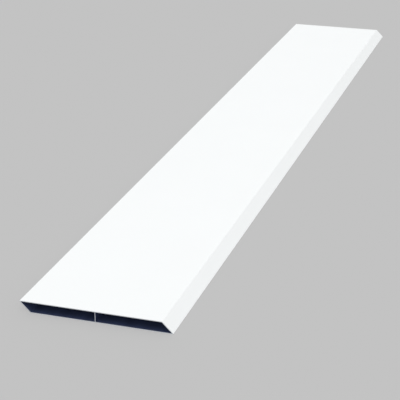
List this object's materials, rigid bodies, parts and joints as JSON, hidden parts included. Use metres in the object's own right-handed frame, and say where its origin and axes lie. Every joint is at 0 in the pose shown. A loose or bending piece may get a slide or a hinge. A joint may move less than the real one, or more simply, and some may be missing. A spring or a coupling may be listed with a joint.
{
  "type": "fence slat",
  "caption": "Long hollow fence slat extruded in aluminium and powder coated white, with a flat parallelogram section, bevelled long edges and a web inside.",
  "frame": {"origin": "middle of the underside, the broad face that the slat lies on", "axes": "+X across the width, towards the edge whose bevel looks up; +Y along the length; +Z through the thickness, from the underside to the upper face"},
  "size_m": [0.2038, 1.5, 0.015],
  "materials": {
    "slat": "satin"
  },
  "bodies": {
    "root": {"slat": "slat"}
  },
  "joints": []
}
